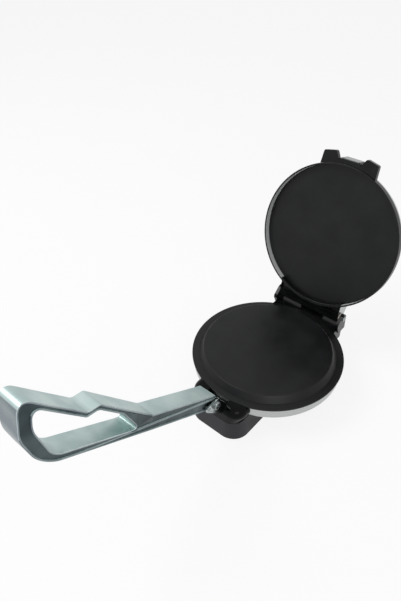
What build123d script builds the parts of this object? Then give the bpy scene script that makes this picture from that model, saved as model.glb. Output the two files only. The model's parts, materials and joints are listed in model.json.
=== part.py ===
"""Electric roti maker: a heated lower pan, a hinged heated lid and a pressing lever.

All sizes are millimetres. The origin is on the table, under the centre of the two round plates.
+Z is up, the lever is at the front (-Y) and the lid's hinge is at the back (+Y).
Lid pieces are drawn shut, where their sizes are easy to read, and turned up to the open rest pose.
"""
from build123d import *
import os
from math import asin, atan2, cos, degrees, hypot, radians, sin, sqrt

os.makedirs("parts", exist_ok=True)

# ---------------------------------------------------------------- driving dimensions
# Lower plate: a raised round cooking surface with a flange that hangs over the pan
rim_r = 110.0
rim_height = 55.0
rim_thick = 2.5
plateau_inset = 17.0
plateau_rise = 9.0
shoulder_run = 6.5
plate_thick = 5.0

# Steel pan under the lower plate
sheet = 0.8
pan_step_in = 2.5
pan_depth = 19.5
pan_corner = 6.0
pan_opening_inset = 22.0
cover_lap = 9.0
cover_thick = 2.0
slot_circle_r = 48.0
slot_count = 12
slot_length = 24.0
slot_width = 4.0

# Feet and brackets
pad_r = 7.0
pad_thick = 4.0
pad_proud = 1.5
foot_wall = 2.5
bracket_reach = 16.0
foot_half_width = 44.5
foot_flare = 2.5
foot_corner = 25.0
foot_top_corner = 19.0
foot_length = 88.0
cover_half_width = 38.5
cover_corner = 18.0
cover_spread = 11.0
cover_shoulder = 12.0
cover_rise = 1.5
rear_reach = 18.0
rear_foot_half_width = 50.0
rear_foot_length = 68.0
rear_corner = 8.0
front_pad_x = 28.0
rear_pad_x = 38.0
pad_inset = 15.0

# Lid
lid_inset = 4.5
band_wall = 1.2
band_height = 9.0
lid_lift = 0.5
dome_rise = 36.0
dome_edge_rise = 22.0
dome_shoulder = 11.0
cooking_gap = 0.8
upper_plate_thick = 4.5
upper_plate_chamfer = 1.5

# Lid hinge
hinge_setback = 4.3
hinge_rise = 17.2
lid_open = 106.3
hinge_pin_r = 3.0
bush_wall = 2.0
arm_half_width = 52.0
arm_barrel_r = 9.0
arm_lap = 33.0
arm_top_rise = 31.5
arm_under_rise = 5.0
arm_rib_count = 6
arm_rib_wall = 2.2
arm_pocket_depth = 4.0
hinge_bush_depth = 12.0
ear_thick = 4.8
ear_r = 7.0
lobe_r = 6.5
lobe_drop = 7.2
lobe_forward = 8.9
pin_cap_r = 4.5
pin_cap_thick = 1.5
stop_angle = 39.0
stop_play = 1.5
stop_half_width = 20.0
heel_angle_width = 16.0
heel_r = 14.0

# Lugs at the lid's front, between which the lever comes down
horn_inner_root = 15.5
horn_inner_tip = 23.0
horn_outer = 43.0
horn_reach = 14.5
horn_side_drop = 4.0
horn_low = 2.0
horn_high = 10.0
horn_round = 3.0
press_block_reach = 6.0
press_strip_thick = 1.2
press_strip_half_width = 13.0
press_strip_top = 22.2
press_strip_lap = 8.5
front_lap = 30.0
front_lap_rise = 24.0
front_lap_half = 34.0
front_top_rise = 31.5

# Lever
pivot_reach = 28.0
pivot_rise = 18.0
pivot_pin_r = 3.0
lever_width = 26.0
barrel_r = 8.0
bar_over_pivot = 13.3
bar_angle = 31.2
valley_reach = 103.0
crest_reach = 165.0
rise_angle = 51.2
step_length = 14.0
step_rise = 2.0
tip_reach = 238.0
nose_lead = 9.0
nose_reach = tip_reach + nose_lead
nose_height = 184.0
nose_to_chin = 11.0
chin_reach = nose_reach - nose_to_chin
belly_reach = 108.0
under_angle = 27.7
chin_angle = 31.9
top_member = 5.8
low_member = 8.4
nose_member = 14.0
hand_hole_end = 125.0
hand_hole_knee = 142.0
top_band = 6.5
lever_edge_round = 2.2
groove_width = 1.6
groove_depth = 1.2
bush_flange_r = 6.5
bush_flange_thick = 1.0
lever_bush_depth = 10.0

# Lever bracket, a folded steel yoke
yoke_sheet = 2.0
yoke_floor_rise = 11.0
yoke_back = 2.0
yoke_front = 1.0
yoke_boss_r = 8.0
stop_pin_r = 2.5
stop_pin_reach = 13.3
pin_head_r = 6.0
pin_head_thick = 3.5
pin_socket_r = 3.6
pin_socket_depth = 2.2
nut_r = 5.5
nut_thick = 4.5

# Heating parts
element_inset = 10.0
element_tube_r = 4.0
element_gap_angle = 30.0
element_tail = 10.0
element_pin_r = 1.5
element_pin_length = 5.0
reflector_inset = 27.0
reflector_sheet = 0.6
stud_circle_r = 38.0
stud_r = 4.0
thermostat_r = 8.2
thermostat_height = 10.0
thermostat_flange_r = 12.0
tab_length = 6.0
fuse_r = 2.5
fuse_length = 14.0
fuse_x = 24.0
block_length = 30.0
block_width = 17.0
block_height = 12.0
block_y = 27.0
lead_r = 1.3
lead_bend = 2.5

# Screws and fits
screw_r = 2.0
screw_head_r = 3.8
screw_head_thick = 2.4
screw_bite = 10.0
small_screw_r = 1.5
small_head_r = 2.8
small_head_thick = 1.8
small_screw_bite = 8.0
bracket_screw_x = 14.0
bracket_screw_inset = 10.0
boss_r = 5.5
boss_x = 26.0
boss_inset = 20.0
lid_boss_inset = 23.5
cover_boss_inset = 11.0
seat_gap = 0.15
thread_gap = 0.05
run_gap = 0.05
side_play = 0.3
touch_gap = 0.3

# Cord inlet bush in the rear foot (the object is shown without a cord)
inlet_bore_r = 3.6
inlet_wall = 3.0
inlet_flange_r = 9.0
inlet_flange_thick = 2.0
inlet_length = 12.0
inlet_x = 0.0
inlet_height = 17.0

# ---------------------------------------------------------------- worked-out places
rim_under = rim_height - rim_thick
plateau_r = rim_r - plateau_inset
lid_r = rim_r - lid_inset
pan_opening_r = rim_r - pan_opening_inset
boss_y = plateau_r - boss_inset
lid_boss_y = lid_r - lid_boss_inset
cover_boss_x = pan_opening_r - cover_boss_inset
reflector_r = plateau_r - reflector_inset
element_circle_r = reflector_r - element_inset
plate_top = rim_height + plateau_rise
plate_under = plate_top - plate_thick
shoulder_r = plateau_r + shoulder_run
pan_r = rim_r - pan_step_in
pan_floor = rim_under - pan_depth
cover_under = pan_floor - cover_thick
cover_r = pan_opening_r + cover_lap
front_y = -(rim_r + bracket_reach)
rear_y = rim_r + rear_reach
front_pad_y = front_y + pad_inset
rear_pad_y = rear_y - pad_inset

hinge_y = rim_r + hinge_setback
hinge_z = rim_height + hinge_rise
hinge_axis = Axis((0, hinge_y, hinge_z), (1, 0, 0))
shell_r = lid_r - band_wall
lid_low = rim_height + lid_lift
dome_top = rim_height + dome_rise
dome_edge = rim_height + dome_edge_rise
dome_sag = dome_rise - dome_edge_rise
dome_sphere_r = (shell_r ** 2 + dome_sag ** 2) / (2 * dome_sag)
upper_face = plate_top + cooking_gap
upper_back = upper_face + upper_plate_thick
upper_plate_r = shell_r - sheet - side_play
bush_r = hinge_pin_r + bush_wall
ear_inner = arm_half_width + 2 * side_play + sheet
ear_outer = ear_inner + ear_thick
bracket_top = hinge_z - heel_r - 2 * seat_gap - foot_wall / 2
stop_inner_r = arm_barrel_r + 1
stop_outer_r = heel_r

pivot_y = -(rim_r + pivot_reach)
pivot_z = rim_height + pivot_rise
lever_half = lever_width / 2
ear_gap = lever_half + bush_flange_thick + side_play
yoke_half = ear_gap + yoke_sheet
yoke_floor = rim_height - yoke_floor_rise
yoke_back_y = -(pan_r + yoke_back)
yoke_front_y = front_y + yoke_front
yoke_middle_y = (yoke_back_y + yoke_front_y) / 2

element_z = plate_under - touch_gap - element_tube_r
reflector_z = element_z - element_tube_r - touch_gap
upper_element_z = upper_back + touch_gap + element_tube_r
upper_reflector_z = upper_element_z + element_tube_r + touch_gap


def dome_height(radius):
    """Height of the dome's outer skin at a distance from its centre, lid shut."""
    return dome_top - dome_sphere_r + sqrt(dome_sphere_r ** 2 - radius ** 2)


def footprint(half_width, near, far, corner, height):
    """Rounded rectangle across the middle line, from y = near to y = far."""
    with BuildSketch(Plane.XY.offset(height)) as plan:
        with Locations((0, (near + far) / 2)):
            RectangleRounded(2 * half_width, abs(far - near), corner)
    return plan.sketch


def discs(radius, height, places):
    """Equal circles at a list of places, on a level plane."""
    with BuildSketch(Plane.XY.offset(height)) as plan:
        with Locations(*places):
            Circle(radius)
    return plan.sketch


def dome_section(grow):
    """Half section of the lid's solid dome, grown by a gap (or shrunk, for its inside)."""
    with BuildSketch(Plane.XZ) as section:
        with BuildLine():
            sphere_r = dome_sphere_r + grow
            half_angle = degrees(asin((shell_r + grow) / sphere_r))
            cap = CenterArc((0, dome_top - dome_sphere_r), sphere_r, 90 - half_angle, half_angle)
            Polyline(cap @ 0, ((cap @ 0).X, lid_low), (0, lid_low), cap @ 1)
        make_face()
        corner = section.vertices().sort_by_distance((shell_r, dome_edge))[0]
        fillet(corner, dome_shoulder + grow)
    return section.sketch


def four(x, y):
    """The four places (+-x, +-y)."""
    return [(x, y), (-x, y), (x, -y), (-x, -y)]


def pair(x, y):
    """The two places (+-x, y)."""
    return [(x, y), (-x, y)]


def swing_open(piece):
    """Turn a lid piece, drawn shut, up to the open rest pose."""
    piece.part = piece.part.rotate(hinge_axis, -lid_open)


def save(piece, name):
    """Label a finished piece and write it out."""
    piece.part.label = name
    export_step(piece.part, f"parts/{name}.step")


stud_places = [
    (stud_circle_r * cos(radians(a)), stud_circle_r * sin(radians(a))) for a in (30, 150, 270)
]

# ---------------------------------------------------------------- clearances that brackets wrap round
# The space that the pan, its cover and the lower plate take, with a small gap all round
with BuildPart() as base_space:
    with BuildSketch(Plane.XZ):
        with BuildLine():
            Polyline(
                (0, cover_under),
                (cover_r + seat_gap, cover_under),
                (cover_r + seat_gap, pan_floor - seat_gap),
                (pan_r + seat_gap, pan_floor - seat_gap),
                (pan_r + seat_gap, rim_under - seat_gap),
                (rim_r + touch_gap, rim_under - seat_gap),
                (rim_r + touch_gap, dome_top),
                (0, dome_top),
                close=True,
            )
        make_face()
    revolve(axis=Axis.Z)

# The space that the shut lid's skin and band take, with a small gap all round
with BuildPart() as lid_space:
    revolve(dome_section(seat_gap), axis=Axis.Z)
    extrude(discs(lid_r + seat_gap, rim_height, [(0, 0)]), amount=lid_lift + band_height + seat_gap)

# ---------------------------------------------------------------- lower plate
with BuildPart() as lower_plate:
    with BuildSketch(Plane.XZ):
        with BuildLine():
            Polyline(
                (0, plate_top),
                (plateau_r, plate_top),
                (shoulder_r, rim_height),
                (rim_r, rim_height),
                (rim_r, rim_under),
                (shoulder_r, rim_under),
                (plateau_r - rim_thick, plate_under),
                (0, plate_under),
                close=True,
            )
        make_face()
    revolve(axis=Axis.Z)
    fillet(lower_plate.edges().filter_by(GeomType.CIRCLE).group_by(Axis.Z)[-1], rim_thick / 2)
    round_edges = lower_plate.edges().filter_by(GeomType.CIRCLE)
    fillet(round_edges.filter_by(lambda e: abs(e.radius - rim_r) < 0.01), rim_thick / 4)
    extrude(discs(boss_r, pan_floor, four(boss_x, boss_y)), amount=plate_under - pan_floor)
    extrude(discs(boss_r, pan_floor, pair(cover_boss_x, 0)), amount=plate_under - pan_floor)
    extrude(discs(stud_r, reflector_z, stud_places), amount=plate_under - reflector_z)
    extrude(
        discs(screw_r + thread_gap, pan_floor, four(boss_x, boss_y) + pair(cover_boss_x, 0)),
        amount=screw_bite + 1,
        mode=Mode.SUBTRACT,
    )
    extrude(
        discs(small_screw_r + thread_gap, reflector_z, stud_places),
        amount=plate_under - reflector_z,
        mode=Mode.SUBTRACT,
    )
save(lower_plate, "lower_plate")

# ---------------------------------------------------------------- steel pan
with BuildPart() as lower_pan:
    with BuildSketch(Plane.XZ) as pan_section:
        with BuildLine():
            Polyline(
                (pan_opening_r, pan_floor),
                (pan_r, pan_floor),
                (pan_r, rim_under),
                (pan_r - sheet, rim_under),
                (pan_r - sheet, pan_floor + sheet),
                (pan_opening_r, pan_floor + sheet),
                close=True,
            )
        make_face()
        corners = pan_section.vertices().sort_by_distance((pan_r, pan_floor))
        fillet(corners[0], pan_corner)
        corners = pan_section.vertices().sort_by_distance((pan_r - sheet, pan_floor + sheet))
        fillet(corners[0], pan_corner - sheet)
    revolve(axis=Axis.Z)
save(lower_pan, "lower_pan")

# ---------------------------------------------------------------- bottom cover with cooling slots
with BuildPart() as bottom_cover:
    extrude(discs(cover_r, cover_under, [(0, 0)]), amount=cover_thick)
    with BuildSketch(Plane.XY.offset(cover_under)):
        with PolarLocations(slot_circle_r, slot_count):
            SlotOverall(slot_length, slot_width)
    extrude(amount=cover_thick, mode=Mode.SUBTRACT)
    extrude(
        discs(screw_r + seat_gap, cover_under, four(boss_x, boss_y) + pair(cover_boss_x, 0)),
        amount=cover_thick,
        mode=Mode.SUBTRACT,
    )
save(bottom_cover, "bottom_cover")

# ---------------------------------------------------------------- front foot and its glossy cover
front_back_y = front_y + foot_length
with BuildPart() as front_foot:
    loft(
        [
            footprint(foot_half_width, front_y - foot_flare, front_back_y, foot_corner, pad_proud),
            footprint(foot_half_width - 2 * foot_flare, front_y, front_back_y, foot_top_corner, cover_under),
        ]
    )
    inner_half = foot_half_width - foot_wall
    inner_corner = foot_corner - foot_wall
    inner_back = front_back_y - foot_wall
    loft(
        [
            footprint(inner_half, front_y - foot_flare + foot_wall, inner_back, inner_corner, pad_proud),
            footprint(
                inner_half - 2 * foot_flare,
                front_y + foot_wall,
                inner_back,
                foot_top_corner - foot_wall,
                cover_under - foot_wall,
            ),
        ],
        mode=Mode.SUBTRACT,
    )
    pads = pair(front_pad_x, front_pad_y)
    screws = pair(boss_x, -boss_y)
    small_screws = pair(bracket_screw_x, front_y + bracket_screw_inset)
    extrude(discs(pad_r + foot_wall, pad_proud, pads), amount=cover_under - foot_wall - pad_proud)
    extrude(discs(pad_r + thread_gap, pad_proud, pads), amount=pad_thick - pad_proud, mode=Mode.SUBTRACT)
    extrude(discs(boss_r + 1, pad_proud, screws), amount=cover_under - foot_wall - pad_proud)
    extrude(discs(screw_r + seat_gap, 0, screws), amount=cover_under, mode=Mode.SUBTRACT)
    extrude(
        discs(screw_head_r + seat_gap, 0, screws),
        amount=cover_under - foot_wall,
        mode=Mode.SUBTRACT,
    )
    extrude(discs(small_screw_r + seat_gap, 0, small_screws), amount=cover_under, mode=Mode.SUBTRACT)
save(front_foot, "front_foot")

with BuildPart() as front_cover:
    cover_wide = cover_half_width + cover_spread
    cover_wide_corner = cover_corner + cover_spread / 2
    loft(
        [
            footprint(cover_half_width, front_y, -boss_y, cover_corner, cover_under),
            footprint(cover_wide, front_y, -boss_y, cover_wide_corner, rim_height + cover_rise),
        ]
    )
    fillet(front_cover.faces().sort_by(Axis.Z)[-1].edges(), cover_shoulder)
    fillet(front_cover.faces().sort_by(Axis.Z)[0].edges(), foot_wall / 2)
    add(base_space.part, mode=Mode.SUBTRACT)
    with BuildSketch(Plane.XY.offset(yoke_floor)):
        with Locations((0, front_y)):
            Rectangle(2 * (yoke_half + side_play), 4 * bracket_reach)
    extrude(amount=dome_top - yoke_floor, mode=Mode.SUBTRACT)
    extrude(
        discs(small_screw_r + thread_gap, yoke_floor - screw_bite, pair(lever_half / 2, yoke_middle_y)),
        amount=screw_bite,
        mode=Mode.SUBTRACT,
    )
    extrude(
        discs(small_screw_r + thread_gap, cover_under, pair(bracket_screw_x, front_y + bracket_screw_inset)),
        amount=small_screw_bite + 1,
        mode=Mode.SUBTRACT,
    )
save(front_cover, "front_cover")

# ---------------------------------------------------------------- rear foot and hinge bracket
with BuildPart() as rear_foot:
    near = rear_y - rear_foot_length
    loft(
        [
            footprint(rear_foot_half_width, near, rear_y, rear_corner, pad_proud),
            footprint(rear_foot_half_width - foot_flare, near + foot_flare, rear_y, rear_corner, cover_under),
        ]
    )
    inner_half = rear_foot_half_width - foot_wall
    loft(
        [
            footprint(inner_half, near + foot_wall, rear_y - foot_wall, rear_corner - foot_wall, pad_proud),
            footprint(
                inner_half - foot_flare,
                near + foot_flare + foot_wall,
                rear_y - foot_wall,
                rear_corner - foot_wall,
                cover_under - foot_wall,
            ),
        ],
        mode=Mode.SUBTRACT,
    )
    pads = pair(rear_pad_x, rear_pad_y)
    screws = pair(boss_x, boss_y)
    small_screws = pair(bracket_screw_x, rear_y - bracket_screw_inset)
    extrude(discs(pad_r + foot_wall, pad_proud, pads), amount=cover_under - foot_wall - pad_proud)
    extrude(discs(pad_r + thread_gap, pad_proud, pads), amount=pad_thick - pad_proud, mode=Mode.SUBTRACT)
    extrude(discs(boss_r + 1, pad_proud, screws), amount=cover_under - foot_wall - pad_proud)
    extrude(discs(screw_r + seat_gap, 0, screws), amount=cover_under, mode=Mode.SUBTRACT)
    extrude(
        discs(screw_head_r + seat_gap, 0, screws),
        amount=cover_under - foot_wall,
        mode=Mode.SUBTRACT,
    )
    extrude(discs(small_screw_r + seat_gap, 0, small_screws), amount=cover_under, mode=Mode.SUBTRACT)
    with BuildSketch(Plane.XZ.offset(-rear_y)):
        with Locations((inlet_x, inlet_height)):
            Circle(inlet_bore_r + inlet_wall + thread_gap)
    extrude(amount=2 * foot_wall, mode=Mode.SUBTRACT)
save(rear_foot, "rear_foot")

# The hinge bracket wraps the back of the pan and carries two ears for the lid's pins
with BuildPart() as hinge_bracket:
    extrude(
        footprint(ear_inner + ear_thick / 2, boss_y, rear_y - foot_flare, rear_corner, cover_under),
        amount=bracket_top - cover_under,
    )
    fillet(hinge_bracket.faces().sort_by(Axis.Z)[-1].edges(), foot_wall)
    for ear_start in (ear_inner, -ear_outer):
        with BuildSketch(Plane.YZ.offset(ear_start)):
            with Locations((hinge_y, hinge_z)):
                Circle(ear_r)
            with Locations((hinge_y - lobe_forward, hinge_z - lobe_drop)):
                Circle(lobe_r)
            with Locations((hinge_y, bracket_top - lobe_r)):
                Rectangle(2 * lobe_forward, foot_wall)
            make_hull()
        extrude(amount=ear_thick)
    with BuildSketch(Plane.YZ):
        with BuildLine():
            stop_along = cos(radians(stop_angle))
            stop_down = sin(radians(stop_angle))
            Polyline(
                (hinge_y + stop_inner_r * stop_along, hinge_z - stop_inner_r * stop_down),
                (hinge_y + stop_outer_r * stop_along, hinge_z - stop_outer_r * stop_down),
                (hinge_y + stop_outer_r * stop_along, bracket_top - foot_wall),
                (hinge_y + stop_inner_r * stop_along, bracket_top - foot_wall),
                close=True,
            )
        make_face()
    extrude(amount=stop_half_width, both=True)
    add(base_space.part, mode=Mode.SUBTRACT)
    with BuildSketch(Plane.YZ):
        with Locations((hinge_y, hinge_z)):
            Circle(hinge_pin_r + thread_gap)
    extrude(amount=ear_outer + 1, both=True, mode=Mode.SUBTRACT)
    extrude(
        discs(small_screw_r + thread_gap, cover_under, pair(bracket_screw_x, rear_y - bracket_screw_inset)),
        amount=small_screw_bite + 1,
        mode=Mode.SUBTRACT,
    )
save(hinge_bracket, "hinge_bracket")

# ---------------------------------------------------------------- table pads, one group of four
with BuildPart() as foot_pads:
    all_pads = pair(front_pad_x, front_pad_y) + pair(rear_pad_x, rear_pad_y)
    extrude(discs(pad_r, 0, all_pads), amount=pad_thick)
save(foot_pads, "foot_pads")

# ---------------------------------------------------------------- lid skin, band and plate
with BuildPart() as lid_shell:
    revolve(dome_section(0), axis=Axis.Z)
    offset(amount=-sheet, openings=lid_shell.faces().sort_by(Axis.Z)[0])
    extrude(
        discs(screw_r + thread_gap, plate_top, four(boss_x, lid_boss_y)),
        amount=dome_rise,
        mode=Mode.SUBTRACT,
    )
swing_open(lid_shell)
save(lid_shell, "lid_shell")

with BuildPart() as lid_band:
    with BuildSketch(Plane.XY.offset(lid_low)):
        Circle(lid_r)
        Circle(shell_r + thread_gap, mode=Mode.SUBTRACT)
    extrude(amount=band_height)
    round_edges = lid_band.edges().filter_by(GeomType.CIRCLE)
    fillet(round_edges.filter_by(lambda e: abs(e.radius - lid_r) < 0.01), band_wall / 3)
swing_open(lid_band)
save(lid_band, "lid_band")

boss_reach = hypot(boss_x, lid_boss_y) + boss_r
lid_boss_top = dome_height(boss_reach) - sheet - seat_gap
with BuildPart() as upper_plate:
    extrude(discs(upper_plate_r, upper_face, [(0, 0)]), amount=upper_plate_thick)
    chamfer(upper_plate.edges().group_by(Axis.Z)[-1], upper_plate_chamfer)
    fillet(upper_plate.edges().group_by(Axis.Z)[0], upper_plate_chamfer / 3)
    extrude(discs(boss_r, upper_back, four(boss_x, lid_boss_y)), amount=lid_boss_top - upper_back)
    extrude(discs(stud_r, upper_back, stud_places), amount=upper_reflector_z - upper_back)
    extrude(
        discs(screw_r + thread_gap, lid_boss_top, four(boss_x, lid_boss_y)),
        amount=-(screw_bite + 1),
        mode=Mode.SUBTRACT,
    )
    extrude(
        discs(small_screw_r + thread_gap, upper_reflector_z, stud_places),
        amount=upper_back - upper_reflector_z,
        mode=Mode.SUBTRACT,
    )
swing_open(upper_plate)
save(upper_plate, "upper_plate")

# ---------------------------------------------------------------- hinge arm on the lid's back
with BuildPart() as hinge_arm:
    arm_front = lid_boss_y - boss_r - arm_lap / 4
    arm_under = rim_height + arm_under_rise
    with BuildSketch(Plane.YZ):
        with BuildLine():
            Polyline(
                (arm_front, rim_height + arm_top_rise),
                (hinge_y - 2 * arm_barrel_r, rim_height + arm_top_rise),
                (hinge_y, hinge_z + arm_barrel_r),
                (hinge_y, hinge_z - arm_barrel_r),
                (hinge_y - arm_barrel_r, arm_under),
                (arm_front, arm_under),
                close=True,
            )
        make_face()
        with Locations((hinge_y, hinge_z)):
            Circle(arm_barrel_r)
    extrude(amount=arm_half_width, both=True)
    with BuildSketch(Plane.YZ):
        with BuildLine():
            heel_low = radians(lid_open - stop_angle + stop_play)
            heel_high = radians(lid_open - stop_angle + stop_play + heel_angle_width)
            Polyline(
                (hinge_y, hinge_z),
                (hinge_y + heel_r * cos(heel_low), hinge_z + heel_r * sin(heel_low)),
                (hinge_y + heel_r * cos(heel_high), hinge_z + heel_r * sin(heel_high)),
                close=True,
            )
        make_face()
    extrude(amount=stop_half_width, both=True)
    add(lid_space.part, mode=Mode.SUBTRACT)
    # moulding pockets between ribs on the underside, which faces forward when the lid is open
    pitch = 2 * arm_half_width / arm_rib_count
    with BuildSketch(Plane.XY.offset(arm_under)):
        with Locations((0, hinge_y - arm_barrel_r - arm_lap / 2)):
            with GridLocations(pitch, 0, arm_rib_count, 1):
                Rectangle(pitch - arm_rib_wall, arm_lap)
    extrude(amount=arm_pocket_depth, mode=Mode.SUBTRACT)
    with BuildSketch(Plane.YZ):
        with Locations((hinge_y, hinge_z)):
            Circle(bush_r + thread_gap)
    extrude(amount=arm_half_width, both=True, mode=Mode.SUBTRACT)
    screws = pair(boss_x, lid_boss_y)
    extrude(discs(screw_r + seat_gap, upper_back, screws), amount=dome_rise, mode=Mode.SUBTRACT)
    head_seat = rim_height + arm_top_rise - screw_head_thick
    extrude(discs(screw_head_r + seat_gap, head_seat, screws), amount=dome_rise, mode=Mode.SUBTRACT)
swing_open(hinge_arm)
save(hinge_arm, "hinge_arm")

# ---------------------------------------------------------------- lugs and press block on the lid's front
def lug_outline(side):
    """Plan outline of one lug, on the side x > 0 or x < 0."""
    with BuildSketch(Plane.XY.offset(rim_height + horn_low)) as plan:
        with BuildLine():
            Polyline(
                (side * horn_inner_root, -(lid_r - front_lap)),
                (side * horn_inner_root, -(lid_r + horn_low)),
                (side * horn_inner_tip, -(lid_r + horn_reach)),
                (side * (horn_outer - horn_low), -(lid_r + horn_reach - horn_side_drop)),
                (side * horn_outer, -(lid_r - front_lap)),
                close=True,
            )
        make_face()
        fillet(plan.vertices().filter_by(lambda v: v.Y < -(lid_r + horn_low + 1)), horn_round)
    return plan.sketch


with BuildPart() as front_lugs:
    for side in (-1, 1):
        extrude(lug_outline(side), amount=horn_high - horn_low)
    tips = front_lugs.edges().filter_by(lambda e: (e @ 0.5).Z > rim_height + horn_high - 0.01)
    fillet(tips.filter_by(lambda e: (e @ 0.5).Y < -lid_r), horn_round / 2)
    # a low wall round the lid that joins the lugs and the press block to the lap over the dome
    horn_wall_front = -(lid_r + horn_low)
    horn_wall_back = -(lid_r - front_lap)
    extrude(
        footprint(front_lap_half, horn_wall_front, horn_wall_back, horn_low, rim_height + horn_low),
        amount=press_strip_top - press_strip_thick - horn_low,
    )
    with BuildSketch(Plane.XY.offset(rim_height + horn_low)):
        with Locations((0, -(lid_r + press_block_reach / 2 - front_lap / 2))):
            Rectangle(2 * horn_inner_root + 1, front_lap + press_block_reach)
    extrude(amount=press_strip_top - horn_low - press_strip_thick)
    # the lap that lies over the dome and takes the screws
    with BuildSketch(Plane.YZ):
        with BuildLine():
            Polyline(
                (-(lid_boss_y - boss_r - arm_lap / 4), rim_height + front_top_rise),
                (-(lid_r - 3 * horn_low), rim_height + front_lap_rise),
                (-(lid_r - 3 * horn_low), upper_face),
                (-(lid_boss_y - boss_r - arm_lap / 4), upper_face),
                close=True,
            )
        make_face()
    extrude(amount=front_lap_half, both=True)
    add(lid_space.part, mode=Mode.SUBTRACT)
    screws = pair(boss_x, -lid_boss_y)
    extrude(discs(screw_r + seat_gap, upper_back, screws), amount=dome_rise, mode=Mode.SUBTRACT)
    front_head_seat = dome_height(lid_boss_y - 2 * boss_r) + thread_gap
    extrude(discs(screw_head_r + seat_gap, front_head_seat, screws), amount=dome_rise, mode=Mode.SUBTRACT)
swing_open(front_lugs)
save(front_lugs, "front_lugs")

with BuildPart() as press_strip:
    strip_front = -(lid_r + press_block_reach + press_strip_thick)
    strip_low = rim_height + horn_low + press_strip_thick
    with BuildSketch(Plane.YZ):
        with BuildLine():
            Polyline(
                (strip_front, strip_low),
                (strip_front, rim_height + press_strip_top),
                (strip_front + press_strip_lap, rim_height + press_strip_top),
                (strip_front + press_strip_lap, rim_height + press_strip_top - press_strip_thick),
                (strip_front + press_strip_thick, rim_height + press_strip_top - press_strip_thick),
                (strip_front + press_strip_thick, strip_low),
                close=True,
            )
        make_face()
    extrude(amount=press_strip_half_width, both=True)
swing_open(press_strip)
save(press_strip, "press_strip")

# ---------------------------------------------------------------- pressing lever
def slope(angle):
    """Rise for each millimetre of reach."""
    return sin(radians(angle)) / cos(radians(angle))


def inset_corner(before, corner, after, first, second):
    """Corner of the hand hole: both edges that meet at an outline corner, moved inwards."""
    ax, az = corner[0] - before[0], corner[1] - before[1]
    bx, bz = after[0] - corner[0], after[1] - corner[1]
    la, lb = hypot(ax, az), hypot(bx, bz)
    pa = (corner[0] + first * az / la, corner[1] - first * ax / la)
    pb = (corner[0] + second * bz / lb, corner[1] - second * bx / lb)
    cross = ax * bz - az * bx
    along = ((pb[0] - pa[0]) * bz - (pb[1] - pa[1]) * bx) / cross
    return (pa[0] + along * ax, pa[1] + along * az)


def lever_points(places):
    """From reach and height over the pivot to places in the lever's side plane."""
    return [(pivot_y - reach, pivot_z + height) for reach, height in places]


def bar_line(reach, drop=0.0):
    """Height over the pivot of the bar's top edge, or of a line parallel to it and lower."""
    return reach * slope(bar_angle) + (bar_over_pivot - drop) / cos(radians(bar_angle))


bar_end = (-3.0, bar_line(-3.0))
valley = (valley_reach, bar_line(valley_reach))
crest = (crest_reach, valley[1] + (crest_reach - valley_reach) * slope(rise_angle))
step = (crest_reach + step_length, crest[1] + step_rise)
tip = (tip_reach, step[1] + (tip_reach - step[0]) * slope(rise_angle))
nose = (nose_reach, nose_height)
belly = (belly_reach, belly_reach * slope(under_angle))
chin = (chin_reach, belly[1] + (chin_reach - belly_reach) * slope(chin_angle))
lever_outline = [bar_end, valley, crest, step, tip, nose, chin, belly, (0, 0)]
lever_rounds = [2.0, 10.0, 5.0, 9.0, 9.0, 40.0, 55.0, 60.0]

hole_crest = inset_corner(valley, crest, step, top_member, top_member)
hole_step = inset_corner(crest, step, tip, top_member, top_member)
hole_tip = inset_corner(step, tip, nose, top_member, nose_member)
hole_nose = inset_corner(tip, nose, chin, nose_member, nose_member)
hole_chin = inset_corner(nose, chin, belly, nose_member, low_member)
hole_end = (
    hand_hole_end,
    belly[1] + (hand_hole_end - belly_reach) * slope(chin_angle) + low_member / cos(radians(chin_angle)),
)
hole_knee = (hand_hole_knee, hole_crest[1] - (hole_crest[0] - hand_hole_knee) * slope(rise_angle))
hole_outline = [hole_knee, hole_crest, hole_step, hole_tip, hole_nose, hole_chin, hole_end]
hole_rounds = [8.0, 9.0, 5.0, 6.0, 30.0, 28.0, 3.5]


def rounded_outline(places, rounds):
    """Closed outline in the lever's side plane, each corner with its own radius."""
    corners = lever_points(places)
    with BuildSketch(Plane.YZ) as outline:
        with BuildLine():
            Polyline(*corners, close=True)
        make_face()
        for corner, radius in zip(corners, rounds):
            fillet(outline.vertices().sort_by_distance(corner)[0], radius)
    return outline.sketch


with BuildPart() as press_lever:
    extrude(rounded_outline(lever_outline, lever_rounds), amount=lever_half, both=True)
    with BuildSketch(Plane.YZ):
        with Locations((pivot_y, pivot_z)):
            Circle(barrel_r)
    extrude(amount=lever_half, both=True)
    extrude(rounded_outline(hole_outline, hole_rounds), amount=lever_half, both=True, mode=Mode.SUBTRACT)
    side_faces = press_lever.faces().filter_by(Axis.X)
    fillet(side_faces.edges(), lever_edge_round)
    with BuildSketch(Plane.YZ):
        with Locations((pivot_y, pivot_z)):
            Circle(pivot_pin_r + bush_wall + thread_gap)
    extrude(amount=lever_half, both=True, mode=Mode.SUBTRACT)
    for side in (-1, 1):
        with BuildSketch(Plane.YZ.offset(side * lever_half)):
            with BuildLine():
                Polyline(
                    *lever_points(
                        [
                            (2 * barrel_r, bar_line(2 * barrel_r, top_band)),
                            (hand_hole_end, bar_line(hand_hole_end, top_band)),
                            (hand_hole_end, bar_line(hand_hole_end, top_band + groove_width)),
                            (2 * barrel_r, bar_line(2 * barrel_r, top_band + groove_width)),
                        ]
                    ),
                    close=True,
                )
            make_face()
        extrude(amount=-side * groove_depth, mode=Mode.SUBTRACT)
save(press_lever, "press_lever")

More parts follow.
